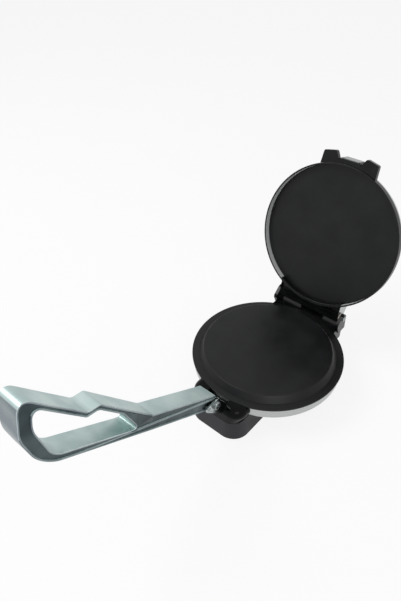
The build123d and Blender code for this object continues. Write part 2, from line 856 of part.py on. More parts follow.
with BuildPart() as lever_bushes:
    for side in (-1, 1):
        with BuildSketch(Plane.YZ.offset(side * (lever_half - lever_bush_depth))):
            with Locations((pivot_y, pivot_z)):
                Circle(pivot_pin_r + bush_wall)
                Circle(pivot_pin_r + run_gap, mode=Mode.SUBTRACT)
        extrude(amount=side * lever_bush_depth)
        with BuildSketch(Plane.YZ.offset(side * lever_half)):
            with Locations((pivot_y, pivot_z)):
                Circle(bush_flange_r)
                Circle(pivot_pin_r + run_gap, mode=Mode.SUBTRACT)
        extrude(amount=side * bush_flange_thick)
save(lever_bushes, "lever_bushes")

# ---------------------------------------------------------------- folded steel yoke and its pins
stop_reach = stop_pin_reach * cos(radians(under_angle)) + (stop_pin_r + touch_gap) * sin(radians(under_angle))
stop_rise = stop_pin_reach * sin(radians(under_angle)) - (stop_pin_r + touch_gap) * cos(radians(under_angle))
stop_place = (pivot_y - stop_reach, pivot_z + stop_rise)
with BuildPart() as lever_yoke:
    with BuildSketch(Plane.XY.offset(yoke_floor)):
        with Locations((0, yoke_middle_y)):
            Rectangle(2 * yoke_half, yoke_back_y - yoke_front_y)
    extrude(amount=yoke_sheet)
    for ear_start in (ear_gap, -yoke_half):
        with BuildSketch(Plane.YZ.offset(ear_start)):
            with Locations((pivot_y, pivot_z)):
                Circle(yoke_boss_r)
            with Locations(stop_place):
                Circle(2 * stop_pin_r)
            with Locations((yoke_middle_y, yoke_floor + yoke_sheet / 2)):
                Rectangle(yoke_back_y - yoke_front_y, yoke_sheet)
            make_hull()
        extrude(amount=yoke_sheet)
    with BuildSketch(Plane.YZ):
        with Locations((pivot_y, pivot_z)):
            Circle(pivot_pin_r + thread_gap)
        with Locations(stop_place):
            Circle(stop_pin_r + thread_gap)
    extrude(amount=yoke_half + 1, both=True, mode=Mode.SUBTRACT)
    extrude(
        discs(small_screw_r + seat_gap, yoke_floor, pair(lever_half / 2, yoke_middle_y)),
        amount=yoke_sheet,
        mode=Mode.SUBTRACT,
    )
save(lever_yoke, "lever_yoke")

with BuildPart() as pivot_pin:
    with BuildSketch(Plane.YZ.offset(-yoke_half - nut_thick / 2)):
        with Locations((pivot_y, pivot_z)):
            Circle(pivot_pin_r)
    extrude(amount=2 * yoke_half + nut_thick / 2)
    with BuildSketch(Plane.YZ.offset(yoke_half)):
        with Locations((pivot_y, pivot_z)):
            Circle(pin_head_r)
    extrude(amount=pin_head_thick)
    head_rim = pivot_pin.faces().sort_by(Axis.X)[-1].edges()
    fillet(head_rim, pin_head_thick / 4)
    with BuildSketch(Plane.YZ.offset(yoke_half + pin_head_thick)):
        with Locations((pivot_y, pivot_z)):
            Circle(pin_socket_r)
    extrude(amount=-pin_socket_depth, mode=Mode.SUBTRACT)
save(pivot_pin, "pivot_pin")

with BuildPart() as pivot_nut:
    with BuildSketch(Plane.YZ.offset(-yoke_half)):
        with Locations((pivot_y, pivot_z)):
            RegularPolygon(nut_r, 6)
    extrude(amount=-nut_thick)
    chamfer(pivot_nut.faces().sort_by(Axis.X)[0].edges(), nut_thick / 6)
    with BuildSketch(Plane.YZ.offset(-yoke_half)):
        with Locations((pivot_y, pivot_z)):
            Circle(pivot_pin_r + thread_gap)
    extrude(amount=-nut_thick / 2, mode=Mode.SUBTRACT)
save(pivot_nut, "pivot_nut")

with BuildPart() as stop_pin:
    with BuildSketch(Plane.YZ):
        with Locations(stop_place):
            Circle(stop_pin_r)
    extrude(amount=yoke_half + stop_pin_r / 4, both=True)
    chamfer(stop_pin.faces().filter_by(Axis.X).edges(), stop_pin_r / 5)
save(stop_pin, "stop_pin")

# ---------------------------------------------------------------- lid hinge pins and their bushes
with BuildPart() as hinge_pins:
    for side in (-1, 1):
        with BuildSketch(Plane.YZ.offset(side * (arm_half_width - hinge_bush_depth))):
            with Locations((hinge_y, hinge_z)):
                Circle(hinge_pin_r)
        extrude(amount=side * (ear_outer - arm_half_width + hinge_bush_depth))
        with BuildSketch(Plane.YZ.offset(side * ear_outer)):
            with Locations((hinge_y, hinge_z)):
                Circle(pin_cap_r)
        extrude(amount=side * pin_cap_thick)
    caps = hinge_pins.faces().filter_by(Axis.X).sort_by(Axis.X)
    fillet(caps[0].edges() + caps[-1].edges(), pin_cap_thick / 2)
save(hinge_pins, "hinge_pins")

with BuildPart() as hinge_bushes:
    for side in (-1, 1):
        with BuildSketch(Plane.YZ.offset(side * (arm_half_width - hinge_bush_depth))):
            with Locations((hinge_y, hinge_z)):
                Circle(bush_r)
                Circle(hinge_pin_r + run_gap, mode=Mode.SUBTRACT)
        extrude(amount=side * hinge_bush_depth)
        with BuildSketch(Plane.YZ.offset(side * arm_half_width)):
            with Locations((hinge_y, hinge_z)):
                Circle(bush_r + bush_wall)
                Circle(hinge_pin_r + run_gap, mode=Mode.SUBTRACT)
        extrude(amount=side * sheet)
swing_open(hinge_bushes)
save(hinge_bushes, "hinge_bushes")


# ---------------------------------------------------------------- screws
def screws_at(places, seat, length, up, shank_r, head_r, head_thick):
    """Pan-head screws: shanks from the seat along +-Z, with heads on the other side of the seat."""
    with BuildPart() as group:
        extrude(discs(shank_r, seat, places), amount=up * length)
        extrude(discs(head_r, seat, places), amount=-up * head_thick)
        outer = group.faces().filter_by(GeomType.PLANE).sort_by(Axis.Z)
        outer = outer[: len(places)] if up > 0 else outer[-len(places) :]
        fillet(outer.edges(), head_thick / 3)
    return group


head_under = cover_under - foot_wall
plate_screws = screws_at(
    four(boss_x, boss_y),
    head_under,
    foot_wall + cover_thick + screw_bite,
    1,
    screw_r,
    screw_head_r,
    screw_head_thick,
)
save(plate_screws, "plate_screws")

cover_screws = screws_at(
    pair(cover_boss_x, 0), cover_under, cover_thick + screw_bite, 1, screw_r, screw_head_r, screw_head_thick
)
save(cover_screws, "cover_screws")

bracket_places = pair(bracket_screw_x, front_y + bracket_screw_inset)
bracket_places += pair(bracket_screw_x, rear_y - bracket_screw_inset)
bracket_screws = screws_at(
    bracket_places, head_under, foot_wall + small_screw_bite, 1, small_screw_r, small_head_r, small_head_thick
)
save(bracket_screws, "bracket_screws")

yoke_screws = screws_at(
    pair(lever_half / 2, yoke_middle_y),
    yoke_floor + yoke_sheet,
    yoke_sheet + small_screw_bite,
    -1,
    small_screw_r,
    small_head_r,
    small_head_thick,
)
save(yoke_screws, "yoke_screws")

arm_screws = screws_at(
    pair(boss_x, lid_boss_y),
    head_seat,
    head_seat - lid_boss_top + screw_bite,
    -1,
    screw_r,
    screw_head_r,
    screw_head_thick,
)
swing_open(arm_screws)
save(arm_screws, "arm_screws")

lug_screws = screws_at(
    pair(boss_x, -lid_boss_y),
    front_head_seat,
    front_head_seat - lid_boss_top + screw_bite,
    -1,
    screw_r,
    screw_head_r,
    screw_head_thick,
)
swing_open(lug_screws)
save(lug_screws, "lug_screws")

lower_reflector_screws = screws_at(
    stud_places,
    reflector_z - reflector_sheet,
    reflector_sheet + small_screw_bite / 2,
    1,
    small_screw_r,
    small_head_r,
    small_head_thick,
)
save(lower_reflector_screws, "lower_reflector_screws")

upper_reflector_screws = screws_at(
    stud_places,
    upper_reflector_z + reflector_sheet,
    reflector_sheet + small_screw_bite / 2,
    -1,
    small_screw_r,
    small_head_r,
    small_head_thick,
)
swing_open(upper_reflector_screws)
save(upper_reflector_screws, "upper_reflector_screws")


# ---------------------------------------------------------------- heating elements and reflectors
ring_ends = [
    (element_circle_r * cos(radians(90 + s * element_gap_angle / 2)),
     element_circle_r * sin(radians(90 + s * element_gap_angle / 2)))
    for s in (-1, 1)
]


def heating_ring(height, tail, pin):
    """Tubular heater: an open ring with its two cold ends turned away from the plate."""
    with BuildPart() as ring:
        with BuildLine(Plane.XY.offset(height)):
            path = CenterArc((0, 0), element_circle_r, 90 + element_gap_angle / 2, 360 - element_gap_angle)
        with BuildSketch(Plane(origin=path @ 0, z_dir=path % 0)):
            Circle(element_tube_r)
        sweep()
        with Locations(*[(x, y, height) for x, y in ring_ends]):
            Sphere(element_tube_r)
        extrude(discs(element_tube_r, height, ring_ends), amount=tail)
        extrude(discs(element_pin_r, height + tail, ring_ends), amount=pin)
    return ring


lower_element = heating_ring(element_z, -element_tail, -element_pin_length)
save(lower_element, "lower_element")

upper_element = heating_ring(upper_element_z, element_tail / 2, element_pin_length)
swing_open(upper_element)
save(upper_element, "upper_element")


def reflector(height, away, rim_length, lead_places):
    """Pressed dish with an upturned rim that throws the heat back at the plate."""
    with BuildPart() as dish:
        extrude(discs(reflector_r, height, [(0, 0)]), amount=away * reflector_sheet)
        with BuildSketch(Plane.XY.offset(height)):
            Circle(reflector_r)
            Circle(reflector_r - reflector_sheet, mode=Mode.SUBTRACT)
        extrude(amount=-away * rim_length)
        holes = discs(small_screw_r + seat_gap, height, stud_places)
        extrude(holes, amount=away * reflector_sheet, mode=Mode.SUBTRACT)
        tails = discs(element_tube_r + seat_gap, height, ring_ends)
        extrude(tails, amount=away * reflector_sheet, mode=Mode.SUBTRACT)
        middle = discs(thermostat_r + 1, height, [(0, 0)])
        extrude(middle, amount=away * reflector_sheet, mode=Mode.SUBTRACT)
        if lead_places:
            lead_holes = discs(2 * lead_r, height, lead_places)
            extrude(lead_holes, amount=away * reflector_sheet, mode=Mode.SUBTRACT)
    return dish


lower_reflector = reflector(reflector_z, -1, plate_under - reflector_z - touch_gap, [(fuse_x, fuse_length)])
save(lower_reflector, "lower_reflector")

upper_reflector = reflector(upper_reflector_z, 1, upper_reflector_z - upper_back - touch_gap, [])
swing_open(upper_reflector)
save(upper_reflector, "upper_reflector")

# ---------------------------------------------------------------- thermostat, fuse, terminals and leads
tab_x = thermostat_r / 2
tab_top = plate_under - thermostat_height
with BuildPart() as thermostat:
    extrude(discs(thermostat_flange_r, plate_under, [(0, 0)]), amount=-sheet)
    extrude(discs(thermostat_r, plate_under, [(0, 0)]), amount=-thermostat_height)
    with BuildSketch(Plane.XY.offset(tab_top)):
        with Locations(*pair(tab_x, 0)):
            Rectangle(sheet, thermostat_r)
    extrude(amount=-tab_length)
save(thermostat, "thermostat")

with BuildPart() as thermal_fuse:
    with BuildSketch(Plane.XZ.offset(-fuse_length / 2)):
        with Locations((fuse_x, plate_under - touch_gap - fuse_r)):
            Circle(fuse_r)
    extrude(amount=fuse_length)
    fillet(thermal_fuse.faces().filter_by(Axis.Y).edges(), fuse_r / 3)
save(thermal_fuse, "thermal_fuse")

with BuildPart() as terminal_block:
    with BuildSketch(Plane.XY.offset(pan_floor)):
        with Locations((0, block_y)):
            Rectangle(block_length, block_width)
    extrude(amount=block_height)
    fillet(terminal_block.edges().filter_by(Axis.Z), block_width / 10)
    with BuildSketch(Plane.XY.offset(pan_floor + block_height)):
        with Locations((0, block_y)):
            with GridLocations(block_length / 3, block_width / 2, 3, 2):
                Circle(screw_r)
    extrude(amount=-block_height / 2, mode=Mode.SUBTRACT)
save(terminal_block, "terminal_block")


def lead(route):
    """One insulated lead: straight runs joined by round bends."""
    with BuildPart() as wire:
        with BuildLine():
            path = FilletPolyline(*route, radius=lead_bend)
        with BuildSketch(Plane(origin=path @ 0, z_dir=path % 0)):
            Circle(lead_r)
        sweep()
    return wire.part


# Two leads from the terminals to the heater's pins, and two to the thermostat and the fuse
lead_z = element_z - element_tail - element_pin_length / 2
block_back = block_y + block_width / 2
block_front = block_y - block_width / 2
lead_routes = []
for end_x, end_y in ring_ends:
    last_y = end_y - element_pin_r - lead_r
    lead_routes.append(
        [
            (end_x / 2, block_back, lead_z),
            (end_x / 2, block_back + lead_bend, lead_z),
            (end_x, last_y - lead_bend, lead_z),
            (end_x, last_y, lead_z),
        ]
    )
tab_z = tab_top - tab_length / 2
lead_routes.append(
    [
        (-tab_x, thermostat_r / 2, tab_z),
        (-tab_x, (thermostat_r + block_front) / 2, tab_z),
        (-block_length / 3, (thermostat_r + block_front) / 2, lead_z),
        (-block_length / 3, block_front, lead_z),
    ]
)
lead_routes.append(
    [
        (tab_x + sheet / 2, 0, tab_z),
        (fuse_x, 0, tab_z),
        (fuse_x, fuse_length, tab_z),
        (fuse_x, fuse_length, element_z),
        (fuse_x, fuse_length / 2, element_z),
    ]
)
with BuildPart() as base_leads:
    for route in lead_routes:
        add(lead(route))
save(base_leads, "base_leads")

# ---------------------------------------------------------------- bush where a supply cord would come in
with BuildPart() as cord_inlet:
    inlet_back = rear_y + inlet_flange_thick
    with BuildSketch(Plane.XZ.offset(-inlet_back)):
        with Locations((inlet_x, inlet_height)):
            Circle(inlet_flange_r)
    extrude(amount=inlet_flange_thick)
    with BuildSketch(Plane.XZ.offset(-inlet_back)):
        with Locations((inlet_x, inlet_height)):
            Circle(inlet_bore_r + inlet_wall)
    extrude(amount=inlet_length)
    fillet(cord_inlet.faces().sort_by(Axis.Y)[-1].edges(), inlet_flange_thick / 2)
    with BuildSketch(Plane.XZ.offset(-inlet_back)):
        with Locations((inlet_x, inlet_height)):
            Circle(inlet_bore_r)
    extrude(amount=inlet_length, mode=Mode.SUBTRACT)
save(cord_inlet, "cord_inlet")

# ---------------------------------------------------------------- how far the lever swings over the lid
corner_reach = hypot(strip_front - pivot_y, press_strip_top - pivot_rise)
corner_angle = degrees(atan2(press_strip_top - pivot_rise, strip_front - pivot_y))
bar_rest = degrees(asin((bar_over_pivot + touch_gap + seat_gap) / corner_reach)) + corner_angle
print("lever limit", round(180 - bar_angle - bar_rest, 2), "degrees; hinge", hinge_y, hinge_z)
print("lever pivot", pivot_y, pivot_z, "lid open", lid_open)
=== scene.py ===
# %% [markdown]
# # An electric roti maker
# A heated lower pan, a hinged heated lid and a long pressing lever. The lower plate, the lid and
# the lever are three bodies, and each piece made here moves with one of them.
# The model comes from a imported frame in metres: +Z is up, the lever is at the front (-Y) and the
# lid's hinge is at the back (+Y). The pieces that show are shaped again here with bmesh, because
# rounded edges and fine steps are what catches the light.

# %% Load the frame
import json
import math

import bmesh
import bpy
from mathutils import Matrix, Vector


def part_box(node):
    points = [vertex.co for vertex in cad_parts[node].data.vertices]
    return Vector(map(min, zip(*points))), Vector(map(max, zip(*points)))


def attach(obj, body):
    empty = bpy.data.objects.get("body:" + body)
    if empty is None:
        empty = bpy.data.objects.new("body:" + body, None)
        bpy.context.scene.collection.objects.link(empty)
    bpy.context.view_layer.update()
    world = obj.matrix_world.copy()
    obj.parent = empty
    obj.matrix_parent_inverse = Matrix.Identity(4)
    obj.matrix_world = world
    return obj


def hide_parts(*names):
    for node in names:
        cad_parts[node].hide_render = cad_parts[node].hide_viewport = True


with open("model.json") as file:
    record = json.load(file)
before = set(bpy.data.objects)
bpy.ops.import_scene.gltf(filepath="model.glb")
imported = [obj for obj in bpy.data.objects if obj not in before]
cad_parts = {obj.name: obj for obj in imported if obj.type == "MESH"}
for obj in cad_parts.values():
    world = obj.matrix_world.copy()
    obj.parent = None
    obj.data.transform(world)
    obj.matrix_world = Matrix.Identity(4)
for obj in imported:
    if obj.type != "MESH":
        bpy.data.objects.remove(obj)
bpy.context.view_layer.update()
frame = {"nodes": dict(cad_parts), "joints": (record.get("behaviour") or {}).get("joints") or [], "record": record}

nodes = frame["nodes"]
MM = 0.001

# %% [markdown]
# ## The camera
# The camera stands in front and to the right, and looks down at about forty degrees. Its place
# was fitted to the lower rim, the lid's rim and the foot. A camera looks along its own -Z, so the
# columns of its matrix are its right, its up and the way back from the object.

# %% Camera
CAMERA_AZIMUTH = math.radians(41.2734)
CAMERA_ELEVATION = math.radians(40.2258)
CAMERA_ROLL = math.radians(-0.6447)
CAMERA_PLACE = Vector((0.2927, -0.4808, 0.6212))
CAMERA_LENS = 32.24

back = Vector(
    (
        math.sin(CAMERA_AZIMUTH) * math.cos(CAMERA_ELEVATION),
        -math.cos(CAMERA_AZIMUTH) * math.cos(CAMERA_ELEVATION),
        math.sin(CAMERA_ELEVATION),
    )
)
level = Vector((math.cos(CAMERA_AZIMUTH), math.sin(CAMERA_AZIMUTH), 0))
upward = back.cross(level)
right = level * math.cos(CAMERA_ROLL) + upward * math.sin(CAMERA_ROLL)
up = upward * math.cos(CAMERA_ROLL) - level * math.sin(CAMERA_ROLL)
camera = bpy.data.objects.new("camera", bpy.data.cameras.new("camera"))
camera.data.lens = CAMERA_LENS
camera.data.sensor_width = 36
camera.data.clip_start = 0.01
camera.matrix_world = Matrix.Translation(CAMERA_PLACE) @ Matrix((right, up, back)).transposed().to_4x4()
bpy.context.scene.collection.objects.link(camera)
bpy.context.scene.camera = camera
print("camera looks along", tuple(round(-v, 3) for v in back))

# %% [markdown]
# ## Colours and nodes
# Colours are picked as sRGB hex values, as in any paint program, and Blender's shaders want
# linear light, so one function turns one into the other. One more adds a node, with its settings
# and its links, to a material.


# %% Colour and node helpers
def srgb(code):
    """Linear RGBA of a hex colour such as "1A1B1D"."""
    parts = [int(code[i : i + 2], 16) / 255 for i in (0, 2, 4)]
    return [p / 12.92 if p <= 0.04045 else ((p + 0.055) / 1.055) ** 2.4 for p in parts] + [1.0]


def add_node(tree, kind, settings=None, **links):
    """A node of a kind; settings are its own properties, links its sockets' values or sources."""
    node = tree.nodes.new(kind)
    for name, value in (settings or {}).items():
        setattr(node, name, value)
    for name, value in links.items():
        wanted = name.replace("_", " ").lower()
        socket = next(s for s in node.inputs if s.enabled and s.name.lower() == wanted)
        if isinstance(value, bpy.types.NodeSocket):
            tree.links.new(value, socket)
        else:
            socket.default_value = value
    return node


def new_material(name):
    """An empty node material and its tree."""
    material = bpy.data.materials.new(name)
    material.use_nodes = True
    material.node_tree.nodes.clear()
    return material, material.node_tree


# %% [markdown]
# ## Floor, backdrop and light
# A product on white: the floor and the world are plain white to the camera and in reflections,
# and the floor keeps a trace of its own shading, so that the maker still has its shadow. The
# lamps stay at a plain level, where a colour renders about as it is written. Three kinds of ray
# are meant to see white, so one function adds them up in the floor's tree and in the world's.

# %% Which rays see the backdrop
BACKDROP = srgb("FFFFFF")
FLOOR = srgb("F2F2F2")


def seen_directly(tree):
    """1 for camera, glossy and transmission rays, and 0 for the rest."""
    rays = add_node(tree, "ShaderNodeLightPath")
    total = rays.outputs["Is Camera Ray"]
    for kind in ("Is Glossy Ray", "Is Transmission Ray"):
        adder = add_node(tree, "ShaderNodeMath", {"operation": "ADD", "use_clamp": True})
        tree.links.new(total, adder.inputs[0])
        tree.links.new(rays.outputs[kind], adder.inputs[1])
        total = adder.outputs[0]
    return total


# %% Floor
FLOOR_GLOW = 0.86
floor_material, tree = new_material("painted_floor")
share = add_node(tree, "ShaderNodeMapRange", Value=seen_directly(tree), To_Max=FLOOR_GLOW)
matte = add_node(tree, "ShaderNodeBsdfDiffuse", Color=FLOOR)
white = add_node(tree, "ShaderNodeEmission", Color=BACKDROP, Strength=1.0)
mixed = add_node(tree, "ShaderNodeMixShader", Fac=share.outputs[0])
tree.links.new(matte.outputs[0], mixed.inputs[1])
tree.links.new(white.outputs[0], mixed.inputs[2])
add_node(tree, "ShaderNodeOutputMaterial", Surface=mixed.outputs[0])

sheet = bmesh.new()
bmesh.ops.create_grid(sheet, x_segments=1, y_segments=1, size=6)
floor = bpy.data.objects.new("floor", bpy.data.meshes.new("floor"))
sheet.to_mesh(floor.data)
sheet.free()
floor.data.materials.append(floor_material)
bpy.context.scene.collection.objects.link(floor)
print("floor: 12 m square")

# %% World and lamps
world = bpy.data.worlds.new("studio")
bpy.context.scene.world = world
world.use_nodes = True
tree = world.node_tree
tree.nodes.clear()
level_light = add_node(tree, "ShaderNodeMapRange", Value=seen_directly(tree), To_Min=0.45, To_Max=1.0)
sky = add_node(tree, "ShaderNodeBackground", Color=BACKDROP, Strength=level_light.outputs[0])
add_node(tree, "ShaderNodeOutputWorld", Surface=sky.outputs[0])


def add_lamp(name, place, aim, size, watts):
    """A square soft box at a place, turned to a point."""
    lamp = bpy.data.objects.new(name, bpy.data.lights.new(name, "AREA"))
    lamp.data.shape = "SQUARE"
    lamp.data.size = size
    lamp.data.energy = watts
    lamp.matrix_world = (
        Matrix.Translation(place)
        @ (Vector(place) - Vector(aim)).to_track_quat("Z", "Y").to_matrix().to_4x4()
    )
    bpy.context.scene.collection.objects.link(lamp)
    return lamp


add_lamp("key", (-0.9, -0.7, 1.5), (0, 0, 0.1), 0.9, 16)
add_lamp("fill", (1.1, -0.9, 1.0), (0, 0, 0.1), 0.8, 6)
bpy.context.scene.view_settings.view_transform = "Standard"
print("lamps: key and fill")

# %% [markdown]
# ## Finishes
# Each finish starts as one Principled shader, and its pattern goes into the base colour, the
# roughness and the bump. Patterns are measured in millimetres on Object coordinates: a Mapping
# node first turns metres into pattern units, so a scale of 1000 / size gives marks of that size.
# A turned or pressed round part is marked in circles, so its pattern reads only the distance from
# its axis and the height along it.

# %% Pattern helpers
OPEN_ANGLE = math.radians(next(j for j in frame["joints"] if j["name"] == "lid_hinge")["range_deg"][1])
HINGE = Vector(next(j for j in frame["joints"] if j["name"] == "lid_hinge")["pos_m"])


def base_shader(name, color, metallic, roughness, **more):
    """A Principled shader with its output, for a finish."""
    material, tree = new_material(name)
    shader = add_node(
        tree, "ShaderNodeBsdfPrincipled", Base_Color=color, Metallic=metallic, Roughness=roughness, **more
    )
    add_node(tree, "ShaderNodeOutputMaterial", Surface=shader.outputs[0])
    return material, tree, shader


def grains(tree, size_mm, stretch=(1, 1, 1), detail=3.0):
    """Noise whose marks are about a size across, on Object coordinates."""
    place = add_node(tree, "ShaderNodeTexCoord")
    scaled = add_node(tree, "ShaderNodeMapping", Vector=place.outputs["Object"])
    scaled.inputs["Scale"].default_value = [1000 / size_mm * s for s in stretch]
    return add_node(tree, "ShaderNodeTexNoise", Vector=scaled.outputs[0], Scale=1.0, Detail=detail).outputs[0]


def turned(tree, pitch_mm, centre=(0, 0, 0), tilt=0.0, wander=0.0):
    """Noise in circles about an axis through centre, tilted back about X."""
    place = add_node(tree, "ShaderNodeTexCoord")
    moved = add_node(tree, "ShaderNodeMapping", {"vector_type": "TEXTURE"}, Vector=place.outputs["Object"])
    moved.inputs["Location"].default_value = centre
    moved.inputs["Rotation"].default_value = (tilt, 0, 0)
    parts = add_node(tree, "ShaderNodeSeparateXYZ", Vector=moved.outputs[0])
    flat = add_node(tree, "ShaderNodeCombineXYZ", X=parts.outputs[0], Y=parts.outputs[1])
    radius = add_node(tree, "ShaderNodeVectorMath", {"operation": "LENGTH"}, Vector=flat.outputs[0])
    line = add_node(tree, "ShaderNodeCombineXYZ", X=radius.outputs["Value"], Y=parts.outputs[2])
    scaled = add_node(tree, "ShaderNodeMapping", Vector=line.outputs[0])
    scaled.inputs["Scale"].default_value = [1000 / pitch_mm] * 3
    rings = add_node(
        tree, "ShaderNodeTexNoise", Vector=scaled.outputs[0], Scale=1.0, Detail=3.0, Distortion=wander
    )
    return rings.outputs[0]


def vary(tree, shader, pattern, socket, low, high):
    """Let a pattern move one number of the shader between two values."""
    shades = add_node(tree, "ShaderNodeMapRange", Value=pattern, From_Min=0.3, From_Max=0.7)
    shades.inputs["To Min"].default_value = low
    shades.inputs["To Max"].default_value = high
    tree.links.new(shades.outputs[0], shader.inputs[socket])


def tint(tree, shader, pattern, dark, light):
    """Let a pattern move the base colour between two colours."""
    ramp = add_node(tree, "ShaderNodeValToRGB", Fac=pattern)
    ramp.color_ramp.elements[0].position = 0.35
    ramp.color_ramp.elements[0].color = dark
    ramp.color_ramp.elements[1].position = 0.65
    ramp.color_ramp.elements[1].color = light
    tree.links.new(ramp.outputs[0], shader.inputs["Base Color"])


def emboss(tree, shader, pattern, depth_mm, strength=1.0, under=None):
    """Turn a pattern into bump of a depth, over another bump if one is given."""
    bump = add_node(tree, "ShaderNodeBump", Height=pattern, Strength=strength, Distance=depth_mm * MM)
    if under is not None:
        tree.links.new(under, bump.inputs["Normal"])
    tree.links.new(bump.outputs[0], shader.inputs["Normal"])
    return bump.outputs[0]


print("lid opened by", round(math.degrees(OPEN_ANGLE), 1), "degrees about", tuple(HINGE))

# %% [markdown]
# ### Non-stick coating
# Sprayed PTFE on cast aluminium. It is nearly black, its sheen is soft and slightly cloudy from
# one patch to the next, and the spray leaves a fine grain. A low IOR keeps it dark at the
# glancing angles of a lid that stands up.

# %% Non-stick coating
finishes = {}


def nonstick_coating(name, dark, light, low, high):
    """Sprayed coating: soft cloudy sheen over a fine spray grain."""
    material, tree, shader = base_shader(name, light, 0.0, low, IOR=1.3)
    cloud = grains(tree, 38.0, detail=2.0)
    tint(tree, shader, cloud, dark, light)
    vary(tree, shader, cloud, "Roughness", low, high)
    emboss(tree, shader, grains(tree, 0.9, detail=2.0), 0.02, 0.5)
    return material


finishes["nonstick"] = nonstick_coating("nonstick_coating", srgb("0F1011"), srgb("161718"), 0.3, 0.44)
print("coating: grain 0.9 mm, clouds 38 mm")

# %% [markdown]
# ### Pressed stainless steel
# The pan and the lid's dome are spun and polished on a wheel, which leaves fine rings about the
# part's axis. The rings are drawn a third of a millimetre apart, coarser than real ones, so that
# they show. The lid stands open, so its rings are drawn about its own tilted axis.

# %% Pressed stainless steel
def spun_steel(name, color_low, color_high, rough, centre=(0, 0, 0), tilt=0.0):
    """Polished sheet with fine rings about an axis."""
    material, tree, shader = base_shader(name, color_high, 1.0, rough)
    rings = turned(tree, 0.35, centre, tilt)
    tint(tree, shader, rings, color_low, color_high)
    vary(tree, shader, turned(tree, 2.5, centre, tilt), "Roughness", rough - 0.06, rough + 0.08)
    emboss(tree, shader, rings, 0.01, 0.35)
    return material


finishes["pan_steel"] = spun_steel("spun_stainless", srgb("A8AAAA"), srgb("C2C4C4"), 0.3)
dome_steel = spun_steel(
    "spun_stainless_lid", srgb("B4B6B6"), srgb("CACCCC"), 0.26, (0, HINGE.y, HINGE.z), -OPEN_ANGLE
)
inner_steel, tree, shader = base_shader("aluminium_paint_inside", srgb("D8DADA"), 0.35, 0.5)
emboss(tree, shader, grains(tree, 1.5), 0.03, 0.4)
print("steel: rings 0.35 mm apart")

# %% [markdown]
# ### Black mouldings
# Heat-proof plastic comes out of a polished or a spark-eroded mould. The cover and the hinge are
# polished, and show a faint orange peel. The feet have a spark texture, which scatters the light
# to a soft purple-grey.

# %% Black mouldings
def moulding(name, dark, light, low, high, grain_mm, depth_mm, **more):
    """A moulded plastic with a surface grain of a given size and depth."""
    material, tree, shader = base_shader(name, light, 0.0, low, **more)
    cloud = grains(tree, 14.0, detail=2.0)
    tint(tree, shader, cloud, dark, light)
    vary(tree, shader, cloud, "Roughness", low, high)
    emboss(tree, shader, grains(tree, grain_mm, detail=4.0), depth_mm, 0.6)
    return material


finishes["black_gloss"] = moulding(
    "polished_phenolic", srgb("0B0C0D"), srgb("121314"), 0.12, 0.2, 3.5, 0.04, IOR=1.28
)
cover_gloss = moulding("mirror_phenolic", srgb("060708"), srgb("0A0B0C"), 0.08, 0.14, 6.0, 0.03, IOR=1.17)
finishes["black_matte"] = moulding(
    "spark_textured_nylon", srgb("1B1B1F"), srgb("242428"), 0.45, 0.58, 0.7, 0.06, IOR=1.38
)
finishes["band_black"] = moulding("satin_lid_band", srgb("101112"), srgb("171819"), 0.25, 0.34, 1.2, 0.02, IOR=1.3)
finishes["cover_black"] = moulding("cover_polypropylene", srgb("1E1E20"), srgb("28282A"), 0.5, 0.6, 1.0, 0.05)
finishes["pad_rubber"] = moulding("moulded_rubber", srgb("141414"), srgb("1C1C1C"), 0.7, 0.85, 0.5, 0.05)
finishes["bush_nylon"] = moulding("natural_nylon", srgb("CFCABB"), srgb("DAD5C8"), 0.35, 0.45, 1.0, 0.02)
finishes["ceramic"] = moulding("glazed_steatite", srgb("D3CEC0"), srgb("E2DED2"), 0.3, 0.5, 0.8, 0.03)
print("mouldings:", len(finishes), "finishes so far")

# %% [markdown]
# ### Lever and bright metals
# The lever is a zinc casting under a thin grey-green satin plating. Its broad faces are light
# and finely drawn along the bar. Its other faces get darker and lighter copies of the same plating
# that stand for the light falling on them: a painted shade on the sunk side panels and on rounded
# edges that face down, a painted half-shade on the flanges and the nose, and a painted highlight on
# rounded edges that face up. The folded yoke is chromed, and the pins are turned steel.

# %% Lever and bright metals
def drawn_metal(name, color_low, color_high, rough, grain_mm, stretch):
    """Metal polished along one direction: long thin marks in the colour and the roughness."""
    material, tree, shader = base_shader(name, color_high, 1.0, rough)
    lines = grains(tree, grain_mm, stretch, detail=3.0)
    cloud = grains(tree, 30.0, detail=2.0)
    tint(tree, shader, cloud, color_low, color_high)
    vary(tree, shader, lines, "Roughness", rough - 0.05, rough + 0.07)
    emboss(tree, shader, lines, 0.004, 0.15)
    return material


ALONG_BAR = (1.0, 0.06, 0.06)
finishes["lever_metal"] = drawn_metal("plated_zinc_face", srgb("A9BBBA"), srgb("BCCBC9"), 0.46, 0.5, ALONG_BAR)
